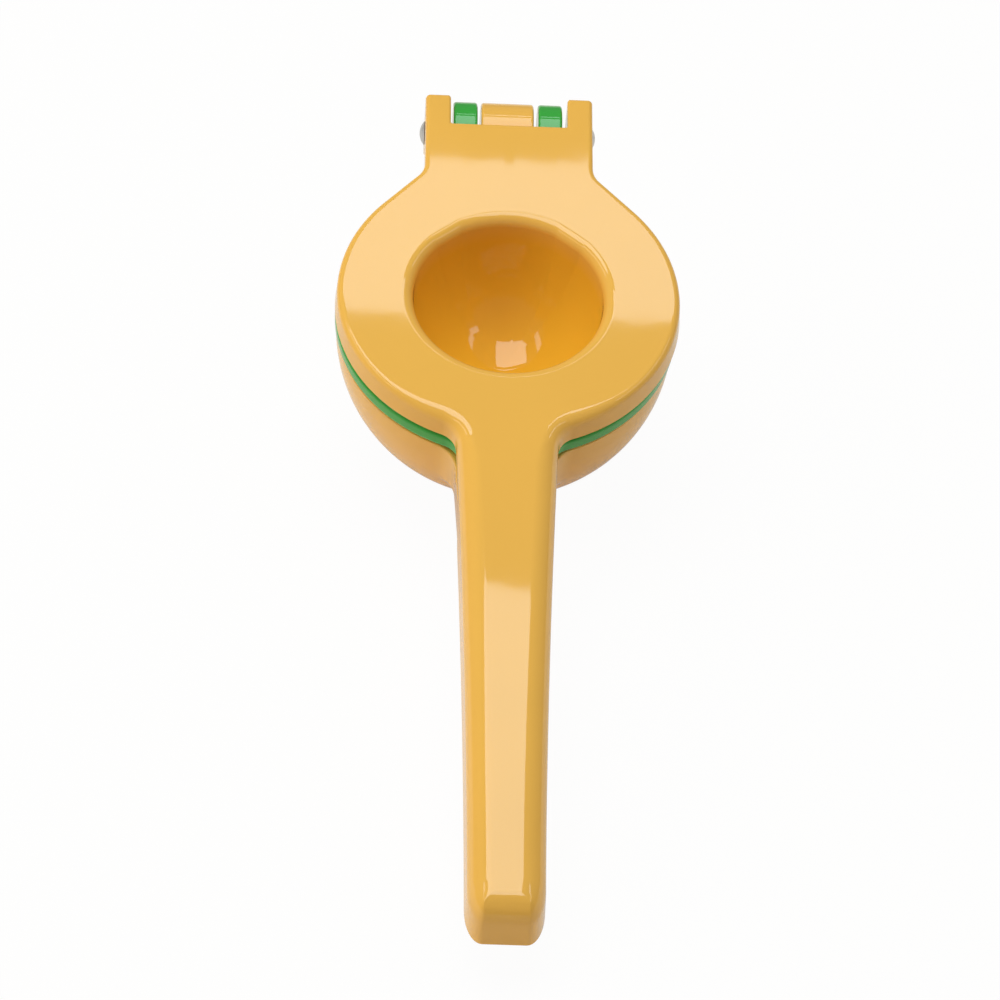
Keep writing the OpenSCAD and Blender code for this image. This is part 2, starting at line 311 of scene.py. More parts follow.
def around(disc: float, handle: Arm, neck: Arm, arc_steps: int = 76) -> list[Point]:
    """Draws the outline of a disc with an arm at -Y and one at +Y.

    Args:
        disc: Radius of the disc.
        handle: The arm at -Y.
        neck: The arm at +Y.
        arc_steps: Steps of the disc's free arc on each side.

    Returns:
        Points from the handle's end, up the right side and down the left side.
    """
    lower = [(a, -u) for u, a in reversed(handle.edge(disc))]
    upper = [(a, u) for u, a in neck.edge(disc)]
    start = math.atan2(lower[-1][1], lower[-1][0])
    stop = math.atan2(upper[0][1], upper[0][0])
    turns = [start + (stop - start) * k / arc_steps for k in range(1, arc_steps)]
    right = lower + [(disc * math.cos(a), disc * math.sin(a)) for a in turns] + upper
    return right + [(-x, y) for x, y in reversed(right)]


def flat_ring(outline: Sequence[Point], depth: float) -> Ring:
    """Returns an outline as a ring at one depth."""
    return [(x, y, -depth) for x, y in outline]


def angles_of(outline: Sequence[Point], evenness: float) -> list[float]:
    """Lists the angles at which a circle's points answer to an outline's points.

    Args:
        outline: The outline, from the handle's end and up the right side.
        evenness: 0 keeps the outline's own angles, and 1 spaces them evenly.

    Returns:
        Angles from -Y towards +X, in radians.
    """
    count = len(outline)
    own = [math.atan2(x, -y) % (2 * math.pi) for x, y in outline]
    return [
        a * (1 - evenness) + 2 * math.pi * (k + 0.5) / count * evenness
        for k, a in enumerate(own)
    ]


def circle(radius: float, depth: float, angles: Sequence[float]) -> Ring:
    """Returns a round ring at a depth with its points at the given angles."""
    return [(radius * math.sin(a), -radius * math.cos(a), -depth) for a in angles]


def cap(
    size: Point,
    middle: float,
    turns: Sequence[float],
    outline: Sequence[Point],
    evenness: Sequence[float],
) -> list[Ring]:
    """Draws the rings of a round cap, whose points answer to an outline's points.

    Args:
        size: Its radius and its height.
        middle: Depth of the centre of its round.
        turns: Where the rings lie, as angles from its pole.
        outline: The outline.
        evenness: From 0 to 1 for each ring; at 1 the points are half evened out.

    Returns:
        The rings.
    """
    rings = []
    for a, share in zip(turns, evenness):
        angles = angles_of(outline, 0.5 * share)
        rings.append(circle(size[0] * math.sin(a), middle + size[1] * math.cos(a), angles))
    return rings


class Change(Enum):
    """What a tool does to a body."""

    UNITE = "UNION"
    CUT = "DIFFERENCE"


class Way(Enum):
    """Which way a drill lies."""

    ACROSS = (0.0, math.pi / 2, 0.0)
    UPRIGHT = (0.0, 0.0, 0.0)


class Bench:
    """Modelling moves, made in millimetres with Blender's own operators."""

    STATION = "station"
    DRILL_STEPS = 64
    BLOCK_STEPS = 5
    FLAT_WEIGHT = 60

    @staticmethod
    def clear() -> None:
        """Leaves edit mode and deselects everything."""
        if bpy.context.object is not None and bpy.context.object.mode != "OBJECT":
            bpy.ops.object.mode_set(mode="OBJECT")
        bpy.ops.object.select_all(action="DESELECT")

    @classmethod
    def pick(cls, *objects: bpy.types.Object) -> None:
        """Selects some objects alone and makes the first one active.

        Args:
            *objects: The objects.
        """
        cls.clear()
        for obj in objects:
            obj.select_set(True)
        bpy.context.view_layer.objects.active = objects[0]

    @classmethod
    def start(cls, name: str, count: int, fill: str) -> bpy.types.Object:
        """Adds a circle and opens it for editing, with all of its points selected.

        Args:
            name: Name of the new object.
            count: Number of its points.
            fill: How it is filled.

        Returns:
            The new object.
        """
        cls.clear()
        bpy.ops.mesh.primitive_circle_add(vertices=count, radius=1, fill_type=fill)
        obj = bpy.context.active_object
        obj.name = name
        bpy.ops.object.mode_set(mode="EDIT")
        bpy.ops.mesh.select_mode(type="VERT")
        bpy.ops.mesh.select_all(action="SELECT")
        return obj

    @classmethod
    def loft(cls, name: str, rings: Sequence[Ring]) -> bpy.types.Object:
        """Draws a closed skin, extruding one ring after another.

        Args:
            name: Name of the new object.
            rings: Rings of equal length; a ring in one spot becomes a pole.

        Returns:
            The new object.
        """
        obj = cls.start(name, len(rings[0]), "NGON")
        shape = bmesh.from_edit_mesh(obj.data)
        station = shape.verts.layers.int.new(cls.STATION)
        for index, vert in enumerate(shape.verts):
            vert[station] = index
        cls.place(obj, rings[0])
        for ring in rings[1:]:
            bpy.ops.mesh.extrude_region_move()
            cls.place(obj, ring)
        bpy.ops.mesh.select_all(action="SELECT")
        bpy.ops.mesh.remove_doubles(threshold=WELD)
        bpy.ops.mesh.normals_make_consistent(inside=False)
        bpy.ops.object.mode_set(mode="OBJECT")
        obj.data.attributes.remove(obj.data.attributes[cls.STATION])
        return obj

    @classmethod
    def place(cls, obj: bpy.types.Object, ring: Ring) -> None:
        """Moves the selected ring's points to their spots.

        Args:
            obj: The object in edit mode.
            ring: The spots, by station.
        """
        shape = bmesh.from_edit_mesh(obj.data)
        station = shape.verts.layers.int[cls.STATION]
        for vert in shape.verts:
            if vert.select:
                vert.co = ring[vert[station]]
        bmesh.update_edit_mesh(obj.data)

    @classmethod
    def turned(cls, name: str, section: Sequence[Point], centre: Spot, steps: int = 96) -> bpy.types.Object:
        """Spins a section about an axis along X.

        Args:
            name: Name of the new object.
            section: Points (x, radius) from one end of the axis to the other.
            centre: A spot on the axis.
            steps: Steps of the full turn.

        Returns:
            The new object.
        """
        obj = cls.start(name, len(section), "NOTHING")
        shape = bmesh.from_edit_mesh(obj.data)
        for vert, (x, radius) in zip(shape.verts, section):
            vert.co = (x, centre[1], centre[2] + radius)
        bmesh.update_edit_mesh(obj.data)
        bpy.ops.mesh.spin(steps=steps, angle=2 * math.pi, center=centre, axis=(1, 0, 0))
        bpy.ops.mesh.select_all(action="SELECT")
        bpy.ops.mesh.remove_doubles(threshold=WELD)
        bpy.ops.mesh.dissolve_degenerate(threshold=SPECK)
        bpy.ops.mesh.delete_loose()
        bpy.ops.mesh.select_all(action="SELECT")
        bpy.ops.mesh.normals_make_consistent(inside=False)
        bpy.ops.object.mode_set(mode="OBJECT")
        return obj

    @classmethod
    def block(cls, name: str, low: Spot, high: Spot, rounded: float) -> bpy.types.Object:
        """Makes a block with all of its edges rounded.

        Args:
            name: Name of the new object.
            low: Its lowest corner.
            high: Its highest corner.
            rounded: Radius of its edges.

        Returns:
            The new object.
        """
        cls.clear()
        middle = [(a + b) / 2 for a, b in zip(low, high)]
        bpy.ops.mesh.primitive_cube_add(size=1, location=middle)
        obj = bpy.context.active_object
        obj.name = name
        obj.scale = [b - a for a, b in zip(low, high)]
        bpy.ops.object.transform_apply(location=True, rotation=True, scale=True)
        bpy.ops.object.mode_set(mode="EDIT")
        bpy.ops.mesh.select_all(action="SELECT")
        bpy.ops.mesh.bevel(offset=rounded, segments=cls.BLOCK_STEPS, affect="EDGES")
        bpy.ops.object.mode_set(mode="OBJECT")
        return obj

    @classmethod
    def drill(
        cls, name: str, radius: float, middle: Spot, length: float, way: Way = Way.UPRIGHT
    ) -> bpy.types.Object:
        """Makes a drill, used only for cutting.

        Args:
            name: Name of the new object.
            radius: Radius of the drill.
            middle: Its middle.
            length: Length of the drill.
            way: Which way it lies.

        Returns:
            The new object.
        """
        cls.clear()
        bpy.ops.mesh.primitive_cylinder_add(
            vertices=cls.DRILL_STEPS,
            radius=radius,
            depth=length,
            location=middle,
            rotation=way.value,
        )
        bpy.ops.object.transform_apply(location=True, rotation=True, scale=True)
        bpy.context.active_object.name = name
        return bpy.context.active_object

    @classmethod
    def combine(cls, body: bpy.types.Object, tools: Sequence[bpy.types.Object], effect: Change) -> None:
        """Unites the body with some solids that lie apart, or cuts them out of it.

        Args:
            body: The object that stays.
            tools: Solids that are used up.
            effect: What the solids do to the body.
        """
        cls.pick(*tools)
        if len(tools) > 1:
            bpy.ops.object.join()
        tool = bpy.context.view_layer.objects.active
        cls.pick(body)
        joint = body.modifiers.new("joint", "BOOLEAN")
        joint.operation = effect.value
        joint.solver = "EXACT"
        joint.object = tool
        bpy.ops.object.modifier_apply(modifier=joint.name)
        bpy.data.objects.remove(tool)

    @classmethod
    def finish(cls, obj: bpy.types.Object, placing: Matrix, crease: float = 32.0) -> None:
        """Cleans a piece, shades it with flat faces kept flat, and lays it in place.

        Args:
            obj: The piece, in millimetres.
            placing: The matrix to its place, in metres.
            crease: Angle above which an edge stays sharp, in degrees.
        """
        cls.pick(obj)
        bpy.ops.object.mode_set(mode="EDIT")
        bpy.ops.mesh.select_all(action="SELECT")
        bpy.ops.mesh.remove_doubles(threshold=SLIVER)
        bpy.ops.mesh.dissolve_degenerate(threshold=SLIVER)
        bpy.ops.object.mode_set(mode="OBJECT")
        bpy.ops.object.shade_smooth_by_angle(angle=math.radians(crease), keep_sharp_edges=True)
        weigh = obj.modifiers.new("weigh", "WEIGHTED_NORMAL")
        weigh.keep_sharp = True
        weigh.weight = cls.FLAT_WEIGHT
        bpy.ops.object.modifier_apply(modifier=weigh.name)
        obj.matrix_world = placing
        bpy.ops.object.transform_apply(location=True, rotation=True, scale=True)
        LOG.info("%s: %d faces", obj.name, len(obj.data.polygons))


class Wire:
    """An output socket with arithmetic that adds Math nodes."""

    def __init__(self, graph: "Graph", socket: bpy.types.NodeSocket) -> None:
        """Keeps the graph and the socket."""
        self.graph = graph
        self.socket = socket

    def _math(self, operation: str, first: "Wire | float", second: "Wire | float") -> "Wire":
        """Adds one Math node and returns its output."""
        return self.graph.node("ShaderNodeMath", {"operation": operation}, {0: first, 1: second})

    def __add__(self, other: "Wire | float") -> "Wire":
        """Returns self + other."""
        return self._math("ADD", self, other)

    __radd__ = __add__

    def __mul__(self, other: "Wire | float") -> "Wire":
        """Returns self * other."""
        return self._math("MULTIPLY", self, other)

    __rmul__ = __mul__

    def __sub__(self, other: "Wire | float") -> "Wire":
        """Returns self - other."""
        return self._math("SUBTRACT", self, other)

    def __rsub__(self, other: "Wire | float") -> "Wire":
        """Returns other - self."""
        return self._math("SUBTRACT", other, self)


class Graph:
    """A material's or the world's node tree, built node by node."""

    def __init__(self, tree: bpy.types.NodeTree) -> None:
        """Empties the tree."""
        self.tree = tree
        self.tree.nodes.clear()

    def node(
        self,
        kind: str,
        settings: dict[str, object] | None = None,
        sockets: dict[str | int, object] | None = None,
        output: str | int = 0,
    ) -> Wire:
        """Adds a node.

        Args:
            kind: The node's type.
            settings: Its properties, set before its sockets.
            sockets: Values or wires of its inputs, by name or index.
            output: Which output to return.

        Returns:
            The output as a wire, or a wire with no socket for an end node.
        """
        made = self.tree.nodes.new(kind)
        for key, value in (settings or {}).items():
            setattr(made, key, value)
        for key, value in (sockets or {}).items():
            if isinstance(value, Wire):
                self.tree.links.new(value.socket, made.inputs[key])
            else:
                made.inputs[key].default_value = value
        return Wire(self, made.outputs[output] if len(made.outputs) else None)

    @classmethod
    def coat(cls, name: str) -> tuple[bpy.types.Material, "Graph"]:
        """Starts a material.

        Args:
            name: Its name.

        Returns:
            The material and its empty graph.
        """
        material = bpy.data.materials.new(name)
        material.use_nodes = True
        return material, cls(material.node_tree)

    def surface(self, sockets: dict[str | int, object]) -> None:
        """Ends a material in a Principled shader with these sockets."""
        shader = self.node("ShaderNodeBsdfPrincipled", None, sockets)
        self.node("ShaderNodeOutputMaterial", None, {"Surface": shader})

    def noise(self, place: Wire, scale: float, detail: float) -> Wire:
        """Returns a noise between 0 and 1."""
        return self.node("ShaderNodeTexNoise", None, {"Vector": place, "Scale": scale, "Detail": detail})

    def blend(self, share: Wire, first: object, second: object) -> Wire:
        """Returns a mix of two colours."""
        return self.node("ShaderNodeMix", {"data_type": "RGBA"}, {0: share, 6: first, 7: second}, 2)

    def vector(self, operation: str, values: Sequence[object], output: str | int = 0) -> Wire:
        """Returns the outcome of vector arithmetic."""
        return self.node("ShaderNodeVectorMath", {"operation": operation}, dict(enumerate(values)), output)


def toned(colour: Colour, factor: float = 1.0) -> tuple[float, float, float, float]:
    """Returns a colour made darker or paler, with full alpha."""
    return tuple(min(c * factor, 1.0) for c in colour) + (1.0,)


class Slot(Enum):
    """The record's material slots."""

    YELLOW = "yellow_enamel"
    GREEN = "green_enamel"
    STEEL = "pin_steel"


@dataclass(frozen=True)
class PaintedDishShade:
    """Painted shade in a round dish: a deeper tone that stands in for the light bounced between its walls.

    Sizes are in metres, and the axis points out of the dish. The painted shade fills half of an
    ellipsoid that lies in the metal, just behind the dish's surface.
    """

    centre: Spot
    axis: Spot
    radius: float = 0.0209
    drop: float = 0.0245
    fade: float = 0.0045
    # Deeper colour painted in as the shade of light bounced inside the dish.
    colour: Colour = (0.84, 0.43, 0.028)

    def mask(self, graph: Graph, place: Wire) -> Wire:
        """Draws where the shade is painted: the part of the surface that lies in the dish.

        Args:
            graph: The material's nodes.
            place: The spot on the piece.

        Returns:
            0 on the rest of the piece, rising to 1 down in the dish.
        """
        offset = graph.vector("SUBTRACT", (place, self.centre))
        height = graph.vector("DOT_PRODUCT", (offset, self.axis), "Value")
        reach = graph.vector("LENGTH", (offset,), "Value")
        flat = reach * reach - height * height
        reached = flat * (1 / self.radius**2) + height * height * (1 / self.drop**2)
        inside = graph.node("ShaderNodeMath", {"operation": "LESS_THAN"}, {0: reached, 1: 1.0})
        fall = graph.node("ShaderNodeMath", {"use_clamp": True}, {0: height * (-1 / self.fade), 1: 0.0})
        return inside * fall


@dataclass(frozen=True)
class Enamel:
    """Glossy coloured enamel, baked on cast metal.

    It has a faint orange peel, a slow wave in its flow and a slightly uneven shade.
    """

    slot: Slot
    colour: Colour
    roughness: float = 0.03
    rough_change: float = 0.02
    shade_change: float = 0.04
    shade_scale: float = 38.0
    speck_scale: float = 2600.0
    speck_share: float = 0.2
    wave_scale: float = 55.0
    wave_height: float = 0.000018
    peel_scale: float = 330.0
    peel_height: float = 0.0000008
    # Painted shade down in the dish, standing in for light bounced between its walls.
    painted_dish_shade: "PaintedDishShade | None" = None

    def make(self) -> bpy.types.Material:
        """Returns the finished material."""
        material, graph = Graph.coat(self.slot.value + "_coat")
        place = graph.node("ShaderNodeTexCoord", output="Object")
        shade = graph.noise(place, self.shade_scale, 4.0)
        specks = graph.noise(place, self.speck_scale, 1.0)
        wave = graph.noise(place, self.wave_scale, 1.0)
        peel = graph.noise(place, self.peel_scale, 0.0)
        dark, pale = toned(self.colour, 1 - self.shade_change), toned(self.colour, 1 + self.shade_change)
        share = shade * (1 - self.speck_share) + specks * self.speck_share
        mixed = graph.blend(share, dark, pale)
        # Paints the dish's deeper shade of bounced light over the enamel's own colour.
        if self.painted_dish_shade is not None:
            mixed = graph.blend(self.painted_dish_shade.mask(graph, place), mixed, toned(self.painted_dish_shade.colour))
        height = wave * self.wave_height + peel * self.peel_height
        bump = graph.node("ShaderNodeBump", None, {"Height": height, "Strength": 1.0, "Distance": 1.0})
        rough = self.roughness + (shade - 0.5) * self.rough_change
        graph.surface({"Base Color": mixed, "Roughness": rough, "Normal": bump, "IOR": 1.5})
        material.diffuse_color = self.colour + (1.0,)
        return material


@dataclass(frozen=True)
class PinSteel:
    """Satin steel of a turned and riveted pin, with fine rings and small marks."""

    slot: Slot = Slot.STEEL
    colour: Colour = (0.62, 0.61, 0.6)
    darkest: float = 0.82
    palest: float = 1.08
    roughness: float = 0.3
    rough_change: float = 0.1
    scale: float = 900.0
    ring_height: float = 0.000004
    mark_height: float = 0.000008

    def make(self) -> bpy.types.Material:
        """Returns the finished material."""
        material, graph = Graph.coat(self.slot.value + "_finish")
        place = graph.node("ShaderNodeTexCoord", output="Object")
        marks = graph.noise(place, self.scale, 5.0)
        rings = graph.node(
            "ShaderNodeTexWave",
            {"wave_type": "BANDS", "bands_direction": "X"},
            {"Vector": place, "Scale": self.scale, "Distortion": 2.0, "Detail": 2.0},
            "Fac",
        )
        mixed = graph.blend(marks, toned(self.colour, self.darkest), toned(self.colour, self.palest))
        height = rings * self.ring_height + marks * self.mark_height
        bump = graph.node("ShaderNodeBump", None, {"Height": height, "Strength": 0.6, "Distance": 1.0})
        rough = self.roughness + marks * self.rough_change
        graph.surface({"Base Color": mixed, "Metallic": 1.0, "Roughness": rough, "Normal": bump})
        return material


@dataclass
class PressArm:
    """The dished plate with its skirt, ears and long handle."""

    layout: Layout
    play: float = 0.3
    disc: float = 36.55
    flare: float = 0.42
    plate: float = 3.0
    rim_round: float = 1.4
    neck_round: float = 1.0
    handle_round: float = 4.7
    tip_round: float = 5.0
    dish: float = 20.4
    dish_drop: float = 23.8
    dome: float = 23.4
    dome_drop: float = 25.2
    lip: float = 2.5
    draft: float = 0.4
    wall: float = 2.6
    hollow_disc: float = 33.2
    hollow_tip: float = 40.4
    low_edge: float = 0.3
    inner_edge: float = 0.4
    inner_round: float = 1.1
    dome_fillet: float = 1.5
    ear_reach: float = 4.9
    ear_edge: float = 0.5
    ear_corner: float = 1.1
    rib_rise: float = 0.15
    rib_sunk: float = 0.6
    rib_round: float = 0.3
    bridge_back: float = 3.5
    slot_round: float = 0.6
    slot_corner: float = 0.6
    proud: float = 0.02
    widest: float = 1.0
    inset_step: float = 0.25
    handle_starts: Point = (25.0, 20.0)
    neck_starts: Point = (30.0, 8.0)
    tip_widens: Point = (60.0, 85.0)
    floor_rises: Point = (36.0, 4.0)
    handle: Arm = field(
        default_factory=lambda: Arm(
            156.5, 10.5, 7.7, (7.5, 3.3), 5.5, ease=1.75, flow=1.5, side_steps=72, end_steps=2
        )
    )
    neck: Arm = field(
        default_factory=lambda: Arm(55.82, 18.25, 18.25, (1.0, 1.0), 5.6, shoulder=47.5, end_steps=12)
    )

    def __post_init__(self) -> None:
        """Draws the outline at a range of insets and the edge's sizes along it."""
        self.family = [self.plan(self.inset_step * k - self.widest) for k in range(26)]
        self.outer = self.plan(0.0)
        handles = [change(-y, self.handle_starts) for _, y in self.outer]
        necks = [change(y, self.neck_starts) for _, y in self.outer]
        rim, neck = self.rim_round, self.neck_round
        self.rounds = [
            rim + (self.long_round(y) - rim) * w + (neck - rim) * n
            for (_, y), w, n in zip(self.outer, handles, necks)
        ]
        plate, arm = self.flare / self.layout.skirt, self.draft / self.layout.handle_depth
        self.leans = [plate * (1 - n) + (arm - plate) * w for w, n in zip(handles, necks)]
        self.lows = [self.low(y) for _, y in self.outer]

    def long_round(self, y: float) -> float:
        """Returns the handle's edge rounding, which grows towards its tip."""
        return self.handle_round + (self.tip_round - self.handle_round) * change(-y, self.tip_widens)

    def plan(self, inset: float) -> list[Point]:
        """Returns the arm's outline, drawn in by an inset."""
        handle, neck = (arm.drawn_in(inset, inset) for arm in (self.handle, self.neck))
        return around(self.disc - inset, handle, neck)

    def low(self, y: float) -> float:
        """Returns the depth of the lower edge, which falls where the handle deepens."""
        lay = self.layout
        return lay.skirt + (lay.handle_depth - lay.skirt) * change(-y, lay.step)

    def skin(self, insets: Sequence[float], depths: Sequence[float]) -> Ring:
        """Draws a ring on the arm's outside.

        Args:
            insets: How far each point is drawn in, before the wall's lean.
            depths: The depth of each point.

        Returns:
            The ring.
        """
        ring = []
        for k, (inset, depth) in enumerate(zip(insets, depths)):
            place = (inset - self.leans[k] * depth + self.widest) / self.inset_step
            step = min(int(place), len(self.family) - 2)
            (x0, y0), (x1, y1) = self.family[step][k], self.family[step + 1][k]
            share = place - step
            ring.append((x0 + (x1 - x0) * share, y0 + (y1 - y0) * share, -depth))
        return ring

    def hollow_ring(self, depth_at: Callable[[float], float], inset: float) -> Ring:
        """Draws a ring on the wall of the hollow under the arm.

        Args:
            depth_at: Depth for a place along the arm.
            inset: How far the ring is drawn in.

        Returns:
            The ring.
        """
        handle = self.handle.drawn_in(self.wall + inset, self.wall + inset)
        back = self.neck.tip - self.hollow_tip
        neck = replace(self.neck.drawn_in(self.plate + inset, back + inset), corner=(1.0, 1.0))
        return [(x, y, -depth_at(y)) for x, y in around(self.hollow_disc - inset, handle, neck)]

    def floor(self, y: float) -> float:
        """Returns the depth of the hollow's floor."""
        return self.plate + (self.wall - self.plate) * change(-y, self.floor_rises)

    def top_rings(self) -> list[Ring]:
        """Returns the rings from the dish's middle to the end of the edge rounding."""
        edge = []
        for a in quarter(11, 0):
            insets = [r * (1 - math.sin(a)) for r in self.rounds]
            edge.append(self.skin(insets, [r * (1 - math.cos(a)) for r in self.rounds]))
        outline = [(x, y) for x, y, _ in edge[0]]
        turns, own = quarter(26, 0), angles_of(outline, 0.0)
        size = (self.dish, self.dish_drop)
        dish = cap(size, self.lip, turns, outline, [math.cos(a) for a in turns])
        lip = [circle(self.dish + out, depth, own) for depth, out in rounding(self.lip, 12, 1)]
        return dish + lip + edge

    def under_rings(self) -> list[Ring]:
        """Returns the rings from the outer wall to the middle of the dome."""
        none = [0.0] * len(self.outer)
        ends = [low - self.low_edge for low in self.lows]
        rings = []
        for share in shares(6, 1):
            depths = [r + (end - r) * share for r, end in zip(self.rounds, ends)]
            rings.append(self.skin(none, depths))
        for rise, inset in rounding(self.low_edge, 4, 1):
            rings.append(self.skin([inset] * len(ends), [low - rise for low in self.lows]))
        for out, rise in rounding(self.inner_edge, 4):
            rings.append(self.hollow_ring(lambda y, r=rise: self.low(y) - r, -out))
        for drop, inset in rounding(self.inner_round, 5):
            rings.append(self.hollow_ring(lambda y, d=drop: self.floor(y) + d, inset))
        outline = [(x, y) for x, y, _ in rings[-1]]
        angles = angles_of(outline, 0.0)
        fillet = rounding(self.dome_fillet, 6)
        rings += [circle(self.dome + out, self.plate + drop, angles) for out, drop in fillet]
        top = math.acos((self.plate + self.dome_fillet - self.lip) / self.dome_drop)
        parts = shares(24, 1)
        turns = [top * (1 - part) for part in parts]
        return rings + cap((self.dome, self.dome_drop), self.lip, turns, outline, parts)

    def ear(self, side: int) -> bpy.types.Object:
        """Makes one ear, round below the pin and straight above it.

        Args:
            side: 1 for the right ear and -1 for the left one.

        Returns:
            The new object.
        """
        lay = self.layout
        outer = lay.ear_out + self.proud
        levels = [(lay.ear_in - OVER, 0.0), (outer - self.ear_edge, 0.0)]
        levels += [(outer - back, inset) for back, inset in rounding(self.ear_edge, 4, 1)]
        rings = []
        for x, inset in levels:
            reach = self.ear_reach + self.proud - inset
            turns = [math.pi + math.pi * k / 48 for k in range(49)]
            low = [(lay.pin_y + reach * math.cos(a), -lay.pin_depth + reach * math.sin(a)) for a in turns]
            high = [(lay.pin_y + reach, -self.plate / 2), (lay.pin_y - reach, -self.plate / 2)]
            rings.append([(side * x, y, z) for y, z in low + high])
        return Bench.loft("ear", rings)

    def slot_cutter(self) -> bpy.types.Object:
        """Returns the cutter for the slot between the ears, flared at its upper edge."""
        lay = self.layout
        rings = []
        flare = [(depth, out) for out, depth in rounding(self.slot_round, 6, 1)]
        levels = [(-OVER, self.slot_round), (-HAIR, self.slot_round)] + flare
        for depth, out in levels + [(lay.pin_depth + lay.relief, 0.0)]:
            half = lay.ear_in + out
            front, back = lay.pin_y - self.bridge_back - out, lay.pin_y + 3 * self.ear_reach
            turn = [(half - x, front + y) for x, y in rounding(self.slot_corner, 6)]
            bend = self.ear_corner
            open_end = [(half + x, self.neck.tip - y) for y, x in rounding(bend, 6)]
            right = turn + open_end + [(half + bend, back)]
            rings.append(flat_ring([(-x, y) for x, y in reversed(right)] + right, depth))
        return Bench.loft("slot", rings)

    def build(self) -> bpy.types.Object:
        """Models the arm and returns it, laid in place."""
        lay = self.layout
        body = Bench.loft("press_arm_shell", self.top_rings() + self.under_rings())
        half, sunk = self.handle.root - self.wall / 2, self.rib_sunk
        near = (-half, -lay.rim - self.flare - self.plate / 2, -lay.skirt + self.rib_rise)
        far = (half, -self.hollow_disc + sunk, -self.plate + sunk)
        rib = Bench.block("rib", near, far, self.rib_round)
        Bench.combine(body, [self.ear(-1), self.ear(1), rib], Change.UNITE)
        Bench.combine(body, [self.slot_cutter()], Change.CUT)
        relief = Bench.drill("relief", lay.relief, lay.pin_middle, 2 * lay.ear_in, Way.ACROSS)
        Bench.combine(body, [relief], Change.CUT)
        Bench.combine(body, [pin_bore(lay)], Change.CUT)
        Bench.finish(body, lay.laid(self.play))
        return body


def ring_spots(first: int, last: int, spacing: float) -> list[Point]:
    """Lists the middles of drain holes, six more in each ring.

    Args:
        first: The first ring, where 0 is the middle one.
        last: The last ring.
        spacing: Distance between rings.

    Returns:
        The middles (x, y).
    """
    spots = []
    for ring in range(first, last + 1):
        count = max(1, 6 * ring)
        for k in range(count):
            a = 2 * math.pi * k / count
            spots.append((ring * spacing * math.cos(a), ring * spacing * math.sin(a)))
    return spots


def pin_bore(layout: Layout, length: float = 60.0) -> bpy.types.Object:
    """Makes the drill for the pin's bore through the whole hinge."""
    return Bench.drill("bore", layout.bore, layout.pin_middle, length, Way.ACROSS)


def knuckle(
    layout: Layout, name: str, across: Point, plate: Point, rounded: float = 0.6, inside: float = 0.02
) -> bpy.types.Object:
    """Makes one round knuckle on the pin's axis, with the web that joins it to its plate.

    Args:
        layout: The shared sizes.
        name: Name of the new object.
        across: Where it starts and stops across the hinge.
        plate: Upper and lower depth of the web.
        rounded: Rounding of its two end edges.
        inside: How far the web's sides stay inside.

    Returns:
        The new object.
    """
    (start, stop), (top, low) = across, plate
    root, gap, corner = 3.0, 0.03, 0.5
    edge = rounding(rounded, 6)
    section = [(start, 0.0)] + [(start + x, layout.knuckle - drop) for x, drop in reversed(edge)]
    section += [(stop - x, layout.knuckle - drop) for x, drop in edge] + [(stop, 0.0)]
    body = Bench.turned(name, section, layout.pin_middle)
    near = (start + inside, layout.neck_end - root, -low + gap)
    web = Bench.block("web", near, (stop - inside, layout.pin_y, -top - gap), corner)
    Bench.combine(body, [web], Change.UNITE)
    return body


@dataclass
class MiddleCup:
    """The green perforated cup with its flange, lifting tab and two lugs."""

    layout: Layout
    play: float = 0.1
    flange_step: float = 0.47
    upper_gap: float = 0.35
    lower_gap: float = 0.1
    flange_round: float = 1.0
    outer: float = 29.9
    inner: float = 27.5
    middle: float = 7.153
    fillet: float = 1.2
    lip: float = 0.5
    hole: float = 1.7
    hole_spacing: float = 6.6
    drill: float = 40.0
    tab: Arm = field(default_factory=lambda: Arm(46.0, 9.7, 9.7, (4.0, 4.0), 5.5, end_steps=6))
    neck: Arm = field(default_factory=lambda: Arm(43.4, 11.9, 11.9, (1.0, 1.0), 6.5, end_steps=10))

    def outline(self, inset: float) -> list[Point]:
        """Returns the flange's outline, drawn in by an inset."""
        disc = self.layout.rim + self.flange_step - inset
        return around(disc, self.tab.drawn_in(inset, inset), self.neck.drawn_in(inset, inset))

    def rings(self) -> list[Ring]:
        """Returns the rings from the cup's outer bottom, round the flange, to its inside."""
        lay = self.layout
        top, low, edge = lay.flange_top + self.upper_gap, lay.flange_low - self.lower_gap, self.flange_round
        outline = self.outline(edge)
        angles = angles_of(outline, 0.0)
        under = low + self.fillet
        last = math.acos((under - self.middle) / self.outer)
        reach = self.outer * math.sin(last)
        parts = shares(26)
        turns = [last * part for part in parts]
        rings = cap((self.outer, self.outer), self.middle, turns, outline, [1 - part for part in parts])
        rings += [circle(reach + out, low + drop, angles) for drop, out in rounding(self.fillet, 5, 1)]
        rim = rounding(edge, 6)
        rings += [flat_ring(self.outline(inset), low - rise) for inset, rise in rim]
        rings += [flat_ring(self.outline(inset), top + drop) for drop, inset in rim]
        rings += [circle(self.inner + out, top + drop, angles) for out, drop in rounding(self.lip, 4)]
        turns = [math.pi / 2 - a for a in quarter(28, 0)]
        size = (self.inner, self.inner)
        return rings + cap(size, self.middle, turns, outline, [math.cos(a) for a in turns])

    def build(self) -> bpy.types.Object:
        """Models the cup and returns it, laid in place."""
        lay = self.layout
        body = Bench.loft("middle_cup_shell", self.rings())
        plate = (lay.flange_top + self.upper_gap, lay.flange_low - self.lower_gap)
        sides = ((-lay.lug_out, -lay.lug_in), (lay.lug_in, lay.lug_out))
        Bench.combine(body, [knuckle(lay, "lug", side, plate) for side in sides], Change.UNITE)
        holes = [
            Bench.drill("hole", self.hole, (x, y, self.drill / 2 - lay.foot_depth), self.drill)
            for x, y in ring_spots(0, 2, self.hole_spacing)
        ]
        Bench.combine(body, holes + [pin_bore(lay)], Change.CUT)
        Bench.finish(body, lay.laid(self.play))
        return body


